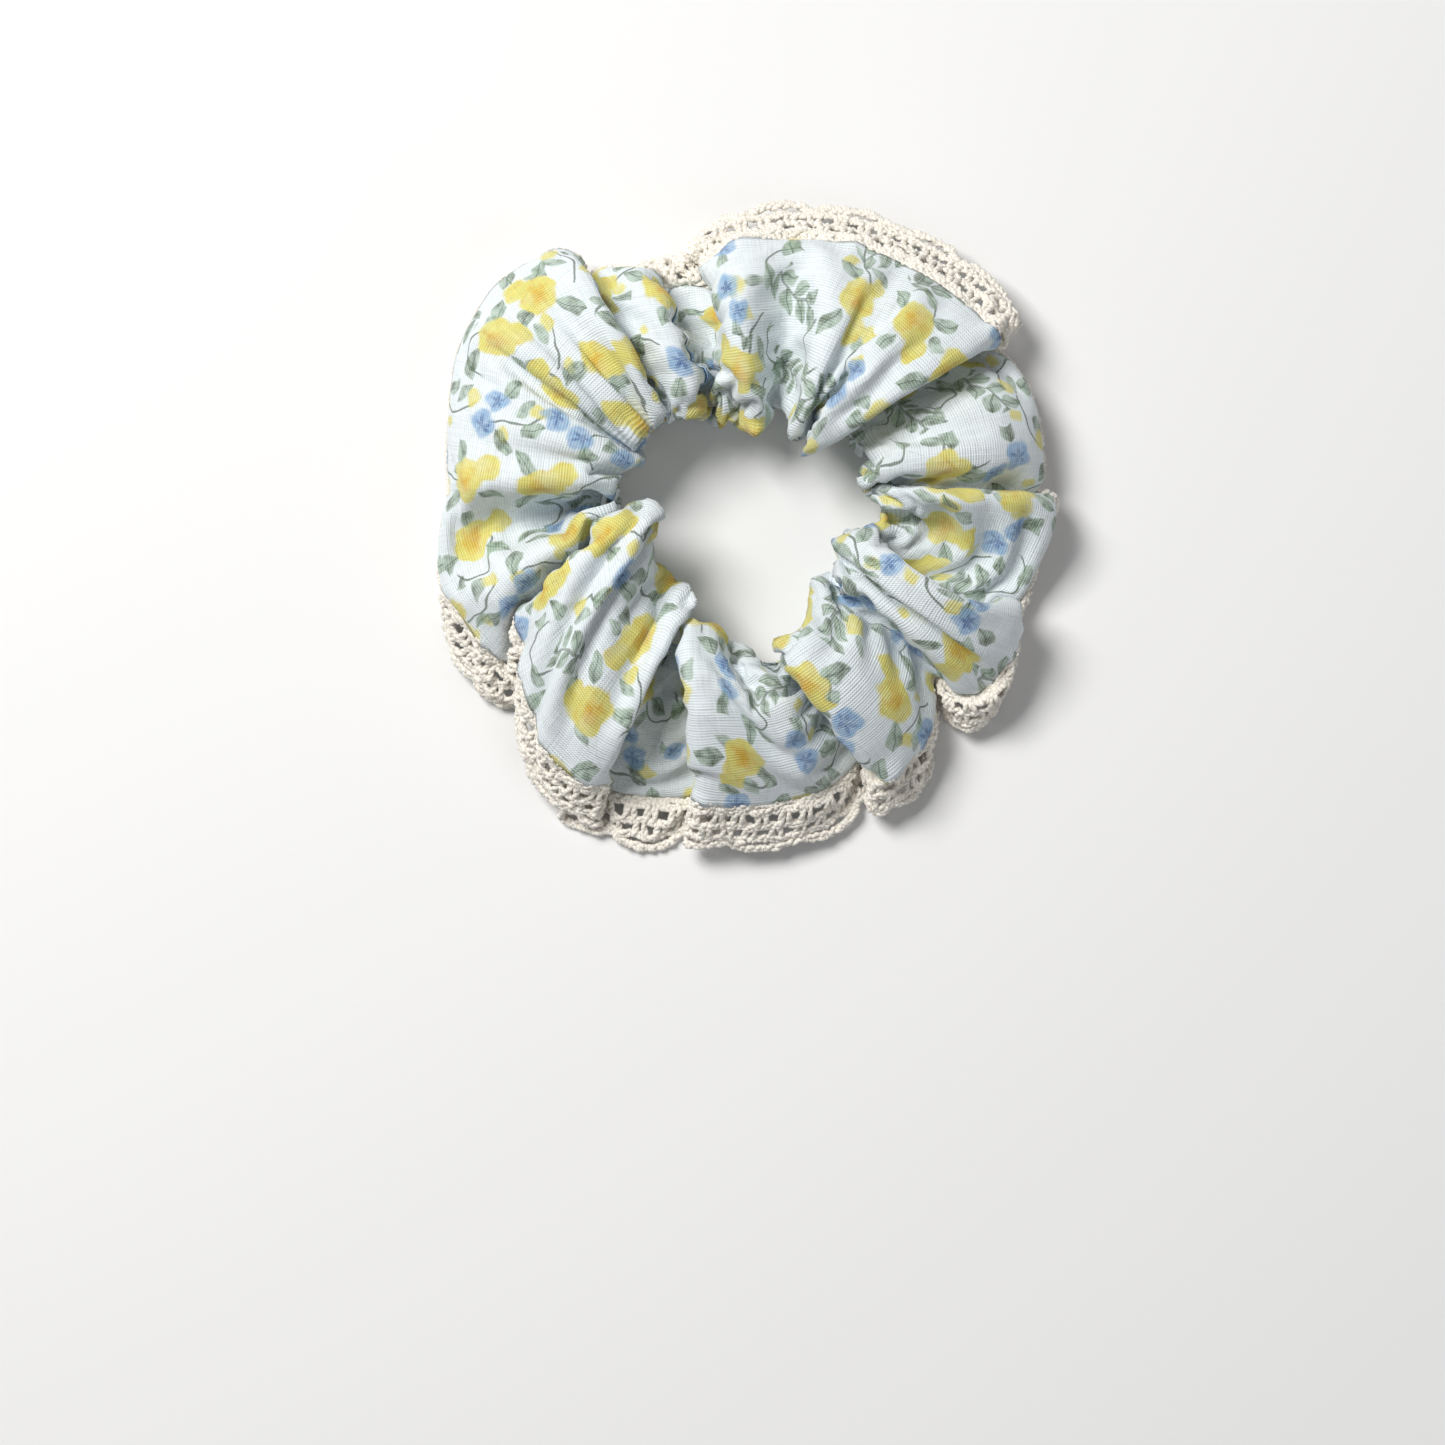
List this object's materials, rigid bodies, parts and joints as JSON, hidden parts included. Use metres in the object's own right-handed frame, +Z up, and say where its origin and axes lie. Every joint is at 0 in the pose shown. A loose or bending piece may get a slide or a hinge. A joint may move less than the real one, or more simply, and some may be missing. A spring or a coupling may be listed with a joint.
{
  "type": "scrunchie",
  "caption": "Hair scrunchie: printed cloth tube gathered on a flat elastic ring, its rim edged with narrow scalloped cotton lace; it pulls open sideways and springs back.",
  "frame": {"origin": "middle of the footprint, on the surface the scrunchie lies on", "axes": "+Z up through the hair opening, +X the way the ring is pulled open"},
  "size_m": [0.12, 0.1192, 0.0262],
  "materials": {
    "printed_cloth": "plain-woven cotton, near white, with a small floral print in yellow, sage green and blue",
    "cotton_lace": "matte cream cotton crochet lace",
    "sewing_thread": "twisted polyester sewing thread, white, slight sheen",
    "elastic": "white braided elastic, ribbed along its length"
  },
  "bodies": {
    "left_half": {"cover_left": "printed_cloth", "lace_left": "cotton_lace", "lace_seam_left": "sewing_thread", "closing_seam": "sewing_thread", "elastic_band": "elastic", "elastic_stitches": "sewing_thread"},
    "right_half": {"cover_right": "printed_cloth", "lace_right": "cotton_lace", "lace_seam_right": "sewing_thread"}
  },
  "joints": [
    {"name": "stretch", "type": "slide", "parent": "left_half", "child": "right_half", "axis": [1, 0, 0], "range_m": [0, 0.08], "stiffness_N_per_m": 80, "deforming": ["elastic_band"]}
  ]
}
